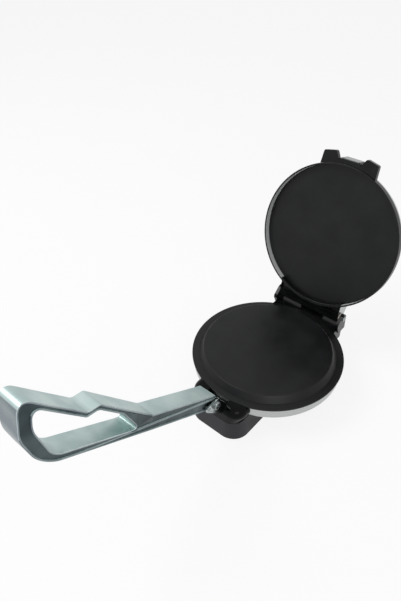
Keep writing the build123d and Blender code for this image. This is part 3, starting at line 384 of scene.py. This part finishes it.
# Painted shade, painted half-shade and painted highlight: darker and lighter copies of the face plating, standing
# for the light that falls on the lever's sides, nose and edges.
lever_painted_shade = drawn_metal("plated_zinc_painted_shade", srgb("353F42"), srgb("4C585B"), 0.26, 0.8, (1.0, 0.08, 0.08))
lever_painted_half_shade = drawn_metal("plated_zinc_painted_half_shade", srgb("78838A"), srgb("8F999C"), 0.3, 0.6, (0.1, 1.0, 1.0))
lever_painted_highlight = drawn_metal("plated_zinc_painted_highlight", srgb("B9C6C6"), srgb("DCE4E4"), 0.22, 0.6, ALONG_BAR)
finishes["yoke_steel"] = drawn_metal("bright_chrome", srgb("8A9291"), srgb("C4CBCA"), 0.1, 2.0, (1, 1, 0.3))
finishes["pin_steel"] = drawn_metal("turned_steel", srgb("767B7C"), srgb("989D9D"), 0.25, 0.4, (1.0, 0.2, 0.2))
finishes["screw_steel"] = drawn_metal("zinc_plated_steel", srgb("8B8D8C"), srgb("A4A6A2"), 0.35, 0.5, (1, 1, 1))
finishes["strip_steel"] = drawn_metal("polished_strip", srgb("5C5E5D"), srgb("7A7C7B"), 0.22, 0.5, (0.06, 1, 1))
finishes["heater_steel"] = drawn_metal("oxidised_sheath", srgb("3A3634"), srgb("544F4A"), 0.5, 1.0, (1, 1, 1))
finishes["reflector_steel"] = drawn_metal("aluminised_sheet", srgb("B5B6B6"), srgb("CBCCCC"), 0.3, 1.5, (1, 1, 1))
finishes["lead_sleeve"] = moulding("braided_glass_sleeve", srgb("BDBBAF"), srgb("DAD8CD"), 0.8, 0.9, 0.6, 0.2)
print("finishes:", len(finishes))

# %% [markdown]
# ## Frame nodes that keep their shape
# Screws, heaters and other inner pieces keep the frame's own shapes and only get their finish.

# %% Finish every frame node
slot_of = {part["node"]: part["material_slot"] for part in frame["record"]["subparts"]}
for node_name, slot_name in slot_of.items():
    nodes[node_name].data.materials.clear()
    nodes[node_name].data.materials.append(finishes[slot_name])
print("finished nodes:", len(slot_of))

# %% [markdown]
# ## Smooth mouldings
# A frame node is a skin of loose flat triangles. For a glossy piece that is not enough: a
# highlight would break at every facet. So the visible mouldings are copied, their loose corners
# are welded, and they are shaded smooth except at creases sharper than a set angle.


# %% Welded copies
def keep(piece, body, slot_name, *replaced):
    """Link a finished piece, hang it on the body it rides on and hide the nodes it stands for; slot_name is not
    used.
    """
    bpy.context.scene.collection.objects.link(piece)
    weigh = piece.modifiers.new("flat faces stay flat", "WEIGHTED_NORMAL")
    weigh.keep_sharp = True
    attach(piece, body)
    if replaced:
        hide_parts(*replaced)
    return piece


def body_of(node_name):
    """Name of the body that a node rides on."""
    bodies = frame["record"]["behaviour"]["bodies"]
    return next(body for body, members in bodies.items() if node_name in members)


def crease(mesh, degrees):
    """Shade smooth, with sharp edges where faces meet at more than an angle."""
    shape = bmesh.new()
    shape.from_mesh(mesh)
    for face in shape.faces:
        face.smooth = True
    for edge in shape.edges:
        edge.smooth = edge.calc_face_angle(math.pi) < math.radians(degrees)
    shape.to_mesh(mesh)
    shape.free()


def welded(node_name, name, degrees=32):
    """A smooth copy of a frame node that takes its place."""
    shape = bmesh.new()
    shape.from_mesh(nodes[node_name].data)
    bmesh.ops.remove_doubles(shape, verts=shape.verts, dist=0.000002)
    mesh = bpy.data.meshes.new(name)
    shape.to_mesh(mesh)
    shape.free()
    mesh.materials.clear()
    mesh.materials.append(finishes[slot_of[node_name]])
    crease(mesh, degrees)
    piece = bpy.data.objects.new(name, mesh)
    return keep(piece, body_of(node_name), slot_of[node_name], node_name)


for node_name in (
    "front_cover", "front_foot", "rear_foot", "hinge_bracket", "hinge_arm", "front_lugs", "lower_pan",
    "lower_plate", "upper_plate",
    "bottom_cover", "lever_yoke", "pivot_pin", "pivot_nut", "stop_pin", "hinge_pins", "cord_inlet",
    "foot_pads", "lever_bushes",
):
    piece = welded(node_name, node_name + "_skin")
    print(piece.name, len(piece.data.polygons), "faces")

# %% [markdown]
# ### Front cover's polish
# The front cover is the glossiest moulding: it is nearly black, with one clear highlight.

# %% Front cover's polish
cover = bpy.data.objects["front_cover_skin"]
cover.data.materials[0] = cover_gloss
print("cover:", len(cover.data.polygons), "faces")

# %% [markdown]
# ### Hinge arm's side plates
# The arm's two ends are closed by bright steel plates, which show as a pale strip beside the
# hinge. They are the same mesh with a second finish on the faces at its ends.

# %% Hinge arm's side plates
arm = bpy.data.objects["hinge_arm_skin"]
arm.data.materials.append(finishes["pan_steel"])
arm_end = max(abs(v.co.x) for v in arm.data.vertices) - 0.1 * MM
for face in arm.data.polygons:
    if abs(face.center.x) > arm_end:
        face.material_index = 1
print("arm ends:", sum(f.material_index for f in arm.data.polygons), "faces of steel")

# %% [markdown]
# ## Round pieces
# Plates, pan rim and lid band are all turned shapes: half of the section is drawn in the plane
# y = 0 and spun about Z. The lid's pieces are drawn shut and then swung open about the hinge, as
# the real lid is.


# %% Turning helpers
SPIN_STEPS = 192


def swing_open(shape):
    """Turn a shape that was drawn shut up to the open rest pose."""
    turn = Matrix.Rotation(-OPEN_ANGLE, 4, "X")
    bmesh.ops.rotate(shape, verts=shape.verts, cent=HINGE, matrix=turn.to_3x3())


def to_piece(shape, name, materials, degrees=32):
    """Close a bmesh into an object with its finishes."""
    mesh = bpy.data.meshes.new(name)
    shape.to_mesh(mesh)
    shape.free()
    for material in materials:
        mesh.materials.append(material)
    crease(mesh, degrees)
    return bpy.data.objects.new(name, mesh)


def turn_section(points, rounds=(), angle=2 * math.pi, start=0.0):
    """Spin a closed section of (radius, height) points in mm; rounds are (index, radius) pairs."""
    shape = bmesh.new()
    corners = [shape.verts.new((r * MM, 0, z * MM)) for r, z in points]
    shape.faces.new(corners)
    for index, radius in sorted(rounds, reverse=True):
        bmesh.ops.bevel(
            shape, geom=[corners[index]], offset=radius * MM, offset_type="OFFSET", segments=5,
            profile=0.5, affect="VERTICES", material=-1,
        )
    if start:
        bmesh.ops.rotate(shape, verts=shape.verts, matrix=Matrix.Rotation(start, 3, "Z"))
    full = angle > 6.28
    steps = SPIN_STEPS if full else max(8, int(SPIN_STEPS * angle / 6.28))
    bmesh.ops.spin(
        shape, geom=shape.verts[:] + shape.edges[:] + shape.faces[:], cent=(0, 0, 0), axis=(0, 0, 1),
        angle=angle, steps=steps, use_merge=full,
    )
    if full:
        bmesh.ops.remove_doubles(shape, verts=shape.verts, dist=0.000005)
        inside = [f for f in shape.faces if abs(f.calc_center_median().y) < 1e-7 and len(f.verts) > 4]
        bmesh.ops.delete(shape, geom=inside, context="FACES_ONLY")
    bmesh.ops.recalc_face_normals(shape, faces=shape.faces)
    return shape


print("full turn in", SPIN_STEPS, "steps")

# %% [markdown]
# ### Lid dome
# The lid's skin is one spun steel sheet. Its outside is polished, while its inside, which shows
# as a pale crescent beside the upper plate, has a thin coat of aluminium paint. So the same skin
# gets two finishes: a face that looks towards the lid's own axis and the plate is inside.

# %% Lid dome
dome = welded("lid_shell", "lid_dome", 50)
dome.data.materials.clear()
dome.data.materials.append(dome_steel)
dome.data.materials.append(inner_steel)
lid_axis = Matrix.Rotation(-OPEN_ANGLE, 3, "X") @ Vector((0, 0, 1))
lid_centre = HINGE + Matrix.Rotation(-OPEN_ANGLE, 3, "X") @ (Vector((0, 0, 0.055)) - HINGE)
for face in dome.data.polygons:
    reach = face.center - lid_centre
    outward = reach - lid_axis * reach.dot(lid_axis)
    looks_out = face.normal.dot(outward.normalized()) if outward.length > 0.09 else face.normal.dot(lid_axis)
    face.material_index = 0 if looks_out > 0 else 1
print("lid dome:", len(dome.data.polygons), "faces")

# %% [markdown]
# ### Lid band
# A black moulded band grips the lid's lower edge. In section it is a J: a wall outside the steel,
# and a lip that turns in under the cut edge, which would otherwise show as a bright ring. Its
# corners are rounded, so the rim has one thin line of light.

# %% Lid band
BAND_SECTION = [
    (105.5, 64.5), (105.5, 55.05), (103.2, 55.05), (103.2, 55.46), (104.36, 55.46), (104.36, 64.5),
]
band_shape = turn_section(BAND_SECTION, rounds=[(0, 0.5), (1, 0.5)])
swing_open(band_shape)
band = keep(to_piece(band_shape, "lid_rim_band", [finishes["band_black"]], 40), "lid", "band_black", "lid_band")
print("lid band:", len(band.data.polygons), "faces")

# %% [markdown]
# ### Hinge lip
# Where the hinge arm grips the dome, its moulding also laps over the rim from the inside, flush
# with the band. It is a short arc of a ring, spun only as far as the arm is wide.

# %% Hinge lip
LIP_SECTION = [(101.3, 55.1), (103.15, 55.1), (103.15, 64.4), (101.3, 64.4)]
LIP_HALF_ANGLE = math.asin(52.0 / 103.0)
lip_shape = turn_section(
    LIP_SECTION, rounds=[(0, 0.6)], angle=2 * LIP_HALF_ANGLE, start=math.pi / 2 - LIP_HALF_ANGLE
)
swing_open(lip_shape)
lip = keep(to_piece(lip_shape, "hinge_lip", [finishes["black_gloss"]], 40), "lid", "black_gloss")
print("hinge lip:", len(lip.data.polygons), "faces, half angle", round(math.degrees(LIP_HALF_ANGLE), 1))

# %% [markdown]
# ## Lever
# The long looped lever is the maker's most striking piece: a bar that rises from the pivot and
# splits into a loop for the hand. From the side it is one outline with one hole, so it is drawn
# flat, filled between the two loops and pulled to its width. Then its rims are bevelled, and its
# side walls are inset and sunk, which leaves the thin flanges that frame them.

# %% Lever outline
PIVOT = Vector(next(j for j in frame["joints"] if j["name"] == "lever_pivot")["pos_m"])
LEVER_HALF = 13.0
BAR_OVER_PIVOT, BAR_SLOPE = 13.3, math.radians(31.2)
VALLEY, CREST, RISE_SLOPE = 103.0, 165.0, math.radians(51.2)
STEP_RUN, STEP_RISE, TIP, NOSE = 14.0, 2.0, 238.0, (247.0, 184.0)
BELLY, UNDER_SLOPE, CHIN, CHIN_SLOPE = 108.0, math.radians(27.7), 236.0, math.radians(31.9)
BARREL = 8.0


def bar_height(reach):
    """Height of the bar's top over the pivot, at a reach in mm."""
    return reach * math.tan(BAR_SLOPE) + BAR_OVER_PIVOT / math.cos(BAR_SLOPE)


valley = (VALLEY, bar_height(VALLEY))
crest = (CREST, valley[1] + (CREST - VALLEY) * math.tan(RISE_SLOPE))
step = (CREST + STEP_RUN, crest[1] + STEP_RISE)
tip = (TIP, step[1] + (TIP - step[0]) * math.tan(RISE_SLOPE))
belly = (BELLY, BELLY * math.tan(UNDER_SLOPE))
chin = (CHIN, belly[1] + (CHIN - BELLY) * math.tan(CHIN_SLOPE))
outline = [
    ((-3.0, bar_height(-3.0)), 2.0), (valley, 10.0), (crest, 5.0), (step, 9.0), (tip, 9.0),
    (NOSE, 40.0), (chin, 55.0), (belly, 60.0), ((1.5, -7.9), 3.0), ((-6.5, -4.6), 3.0), ((-8.0, 2.0), 3.0),
]
print("lever outline:", len(outline), "corners")


# %% Lever hole
TOP_MEMBER, LOW_MEMBER, NOSE_MEMBER = 5.8, 8.4, 14.0
HOLE_END, HOLE_KNEE = 125.0, 142.0


def inset_corner(before, corner, after, first, second):
    """Where two edges that meet at a corner would meet if each moved inwards."""
    a = Vector(corner) - Vector(before)
    b = Vector(after) - Vector(corner)
    start = Vector(corner) + first * Vector((a.y, -a.x)) / a.length
    other = Vector(corner) + second * Vector((b.y, -b.x)) / b.length
    cross = a.x * b.y - a.y * b.x
    along = ((other.x - start.x) * b.y - (other.y - start.y) * b.x) / cross
    return tuple(start + along * a)


hole_crest = inset_corner(valley, crest, step, TOP_MEMBER, TOP_MEMBER)
hole = [
    ((HOLE_KNEE, hole_crest[1] - (hole_crest[0] - HOLE_KNEE) * math.tan(RISE_SLOPE)), 8.0),
    (hole_crest, 9.0),
    (inset_corner(crest, step, tip, TOP_MEMBER, TOP_MEMBER), 5.0),
    (inset_corner(step, tip, NOSE, TOP_MEMBER, NOSE_MEMBER), 6.0),
    (inset_corner(tip, NOSE, chin, NOSE_MEMBER, NOSE_MEMBER), 30.0),
    (inset_corner(NOSE, chin, belly, NOSE_MEMBER, LOW_MEMBER), 28.0),
    ((HOLE_END, belly[1] + (HOLE_END - BELLY) * math.tan(CHIN_SLOPE) + LOW_MEMBER / math.cos(CHIN_SLOPE)), 3.5),
]
print("lever hole:", len(hole), "corners")


# %% Lever body
def rounded_loop(shape, corners, x):
    """A closed loop of edges in the plane of one x, each corner rounded by its own radius in mm."""
    scratch = bmesh.new()
    spots = [
        scratch.verts.new((x * MM, PIVOT.y - reach * MM, PIVOT.z + height * MM)) for (reach, height), r in corners
    ]
    scratch.faces.new(spots)
    for spot, (place, radius) in zip(spots, corners):
        near, far = [edge.other_vert(spot).co - spot.co for edge in spot.link_edges]
        half = near.angle(far) / 2
        bmesh.ops.bevel(
            scratch, geom=[spot], offset=radius * MM / math.tan(half), offset_type="OFFSET",
            segments=12, profile=0.5, affect="VERTICES", material=-1,
        )
    ring = [v.co.copy() for v in next(iter(scratch.faces)).verts]
    scratch.free()
    verts = [shape.verts.new(co) for co in ring]
    return [shape.edges.new((verts[i - 1], verts[i])) for i in range(len(verts))]


lever_shape = bmesh.new()
loops = rounded_loop(lever_shape, outline, -LEVER_HALF) + rounded_loop(lever_shape, hole, -LEVER_HALF)
bmesh.ops.triangle_fill(lever_shape, edges=loops, use_beauty=True)
print("side wall:", len(lever_shape.faces), "triangles")


# %% Lever width
EDGE_ROUND, FLANGE, LEDGE, SUNK, CHANNEL = 1.3, 1.0, 0.4, 1.2, 8.6
bmesh.ops.dissolve_limit(
    lever_shape, angle_limit=0.01, verts=lever_shape.verts, edges=lever_shape.edges, use_dissolve_boundaries=False
)
pulled = bmesh.ops.extrude_face_region(lever_shape, geom=lever_shape.faces[:], use_keep_orig=True)
moved = [item for item in pulled["geom"] if isinstance(item, bmesh.types.BMVert)]
bmesh.ops.translate(lever_shape, verts=moved, vec=(2 * LEVER_HALF * MM, 0, 0))
bmesh.ops.recalc_face_normals(lever_shape, faces=lever_shape.faces)
print("lever:", 2 * LEVER_HALF, "mm wide")

# %% [markdown]
# The lever is an upper strip over a lower channel. A seam between them runs along the bar, so the
# side walls are cut along that line, and each part is inset on its own: between the two sunk
# panels the wall keeps a thin rib, which shows brighter partly by its shape and partly because it
# gets the painted half-shade where the panels get the darker painted shade.


# %% Lever flanges
def side_walls(shape):
    """The faces of a lever bmesh that look to one side or the other."""
    return [f for f in shape.faces if abs(f.normal.x) > 0.99]


walls = set(side_walls(lever_shape))
rims = [e for e in lever_shape.edges if len(e.link_faces) == 2 and len(walls & set(e.link_faces)) == 1]
bmesh.ops.bevel(
    lever_shape, geom=rims, offset=EDGE_ROUND * MM, offset_type="OFFSET", segments=4, profile=0.5,
    affect="EDGES", clamp_overlap=True, material=-1,
)
seam_along = Vector((0, -math.cos(UNDER_SLOPE), math.sin(UNDER_SLOPE)))
seam_up = Vector((0, math.sin(UNDER_SLOPE), math.cos(UNDER_SLOPE)))
seam_point = PIVOT + seam_up * CHANNEL * MM
bmesh.ops.triangulate(lever_shape, faces=side_walls(lever_shape))
walls = side_walls(lever_shape)
around = {e for f in walls for e in f.edges} | {v for f in walls for v in f.verts}
bmesh.ops.bisect_plane(
    lever_shape, geom=walls + list(around), plane_co=seam_point, plane_no=seam_up, dist=0.000001
)
for side in (-1, 1):
    for part in (-1, 1):
        panel = [
            f
            for f in side_walls(lever_shape)
            if f.normal.x * side > 0 and (f.calc_center_median() - seam_point).dot(seam_up) * part > 0
        ]
        bmesh.ops.inset_region(lever_shape, faces=panel, thickness=FLANGE * MM, depth=0.0, use_even_offset=False)
        bmesh.ops.inset_region(
            lever_shape, faces=panel, thickness=LEDGE * MM, depth=-SUNK * MM, use_even_offset=False
        )
lever = to_piece(
    lever_shape, "lever_body", [finishes["lever_metal"], lever_painted_shade, lever_painted_half_shade, lever_painted_highlight], 40
)
# Each face gets a copy by the way it looks: painted shade on the sunk side panels and on edges that face down,
# painted half-shade on the flanges and the nose, painted highlight on edges that face up.
SUNK_PLANE = (LEVER_HALF - SUNK / 2) * MM
for face in lever.data.polygons:
    across = abs(face.normal.x)
    if across > 0.97:
        face.material_index = 1 if abs(face.center.x) < SUNK_PLANE else 2
    elif across > 0.55:
        face.material_index = 3 if face.normal.z > 0 else 1
    elif face.normal.y < -0.8 and face.center.y < PIVOT.y - 0.2:
        face.material_index = 2
keep(lever, "lever", "lever_metal", "press_lever")
print("lever:", len(lever.data.polygons), "faces")

# %% [markdown]
# ### Flat faces of the lever
# A broad flat face of a bright metal piece has to reflect as a flat mirror would, so every face
# with no short edge, and every face square to the sides, is shaded flat.

# %% Flat faces of the lever
for face in lever.data.polygons:
    around = [lever.data.vertices[i].co for i in face.vertices]
    shortest = min((around[i] - around[i - 1]).length for i in range(len(around)))
    if shortest > 4 * MM or abs(face.normal.x) > 0.999:
        face.use_smooth = False
lever.modifiers.clear()
print("lever:", sum(not f.use_smooth for f in lever.data.polygons), "flat faces")

# %% [markdown]
# ## Press strip
# The lever's bar bears on a bright steel strip between the lid's two lugs. It is bent down over
# the front of the block and its ends are rounded off, so it is a bent plate: two flats of one
# sheet with a bevelled fold, and bevelled corners.

# %% Press strip
low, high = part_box("press_strip")
STRIP_HALF, STRIP_FRONT, STRIP_LAP, STRIP_LOW, STRIP_TOP, STRIP_SHEET = 13.0, -112.7, -104.2, 58.2, 77.2, 1.2
strip_shape = bmesh.new()
section = [
    (STRIP_FRONT, STRIP_LOW), (STRIP_FRONT, STRIP_TOP), (STRIP_LAP, STRIP_TOP),
    (STRIP_LAP, STRIP_TOP - STRIP_SHEET), (STRIP_FRONT + STRIP_SHEET, STRIP_TOP - STRIP_SHEET),
    (STRIP_FRONT + STRIP_SHEET, STRIP_LOW),
]
corners = [strip_shape.verts.new((-STRIP_HALF * MM, y * MM, z * MM)) for y, z in section]
strip_shape.faces.new(corners)
pulled = bmesh.ops.extrude_face_region(strip_shape, geom=strip_shape.faces[:], use_keep_orig=True)
moved = [item for item in pulled["geom"] if isinstance(item, bmesh.types.BMVert)]
bmesh.ops.translate(strip_shape, verts=moved, vec=(2 * STRIP_HALF * MM, 0, 0))
bmesh.ops.recalc_face_normals(strip_shape, faces=strip_shape.faces)


def runs(edge, axis, floor=0.0):
    """Whether an edge runs along one axis, for at least a length."""
    span = edge.verts[1].co - edge.verts[0].co
    return abs(span[axis]) > 0.999 * span.length and span.length > floor


fold = [e for e in strip_shape.edges if runs(e, 0) and e.verts[0].co.y < (STRIP_FRONT + 0.1) * MM and e.verts[0].co.z > 0.077]
bmesh.ops.bevel(
    strip_shape, geom=fold, offset=1.1 * MM, offset_type="OFFSET", segments=4, profile=0.5,
    affect="EDGES", clamp_overlap=True, material=-1,
)
ends = [
    e
    for e in strip_shape.edges
    if (runs(e, 1) and e.verts[0].co.z < (STRIP_LOW + 0.1) * MM)
    or (runs(e, 2) and e.verts[0].co.y > (STRIP_LAP - 0.1) * MM)
]
bmesh.ops.bevel(
    strip_shape, geom=ends, offset=2.5 * MM, offset_type="OFFSET", segments=5, profile=0.5,
    affect="EDGES", clamp_overlap=True, material=-1,
)
swing_open(strip_shape)
strip = keep(to_piece(strip_shape, "bent_strip", [finishes["strip_steel"]], 40), "lid", "strip_steel", "press_strip")
print("press strip:", len(strip.data.polygons), "faces", [round(v * 1000, 1) for v in low + high])
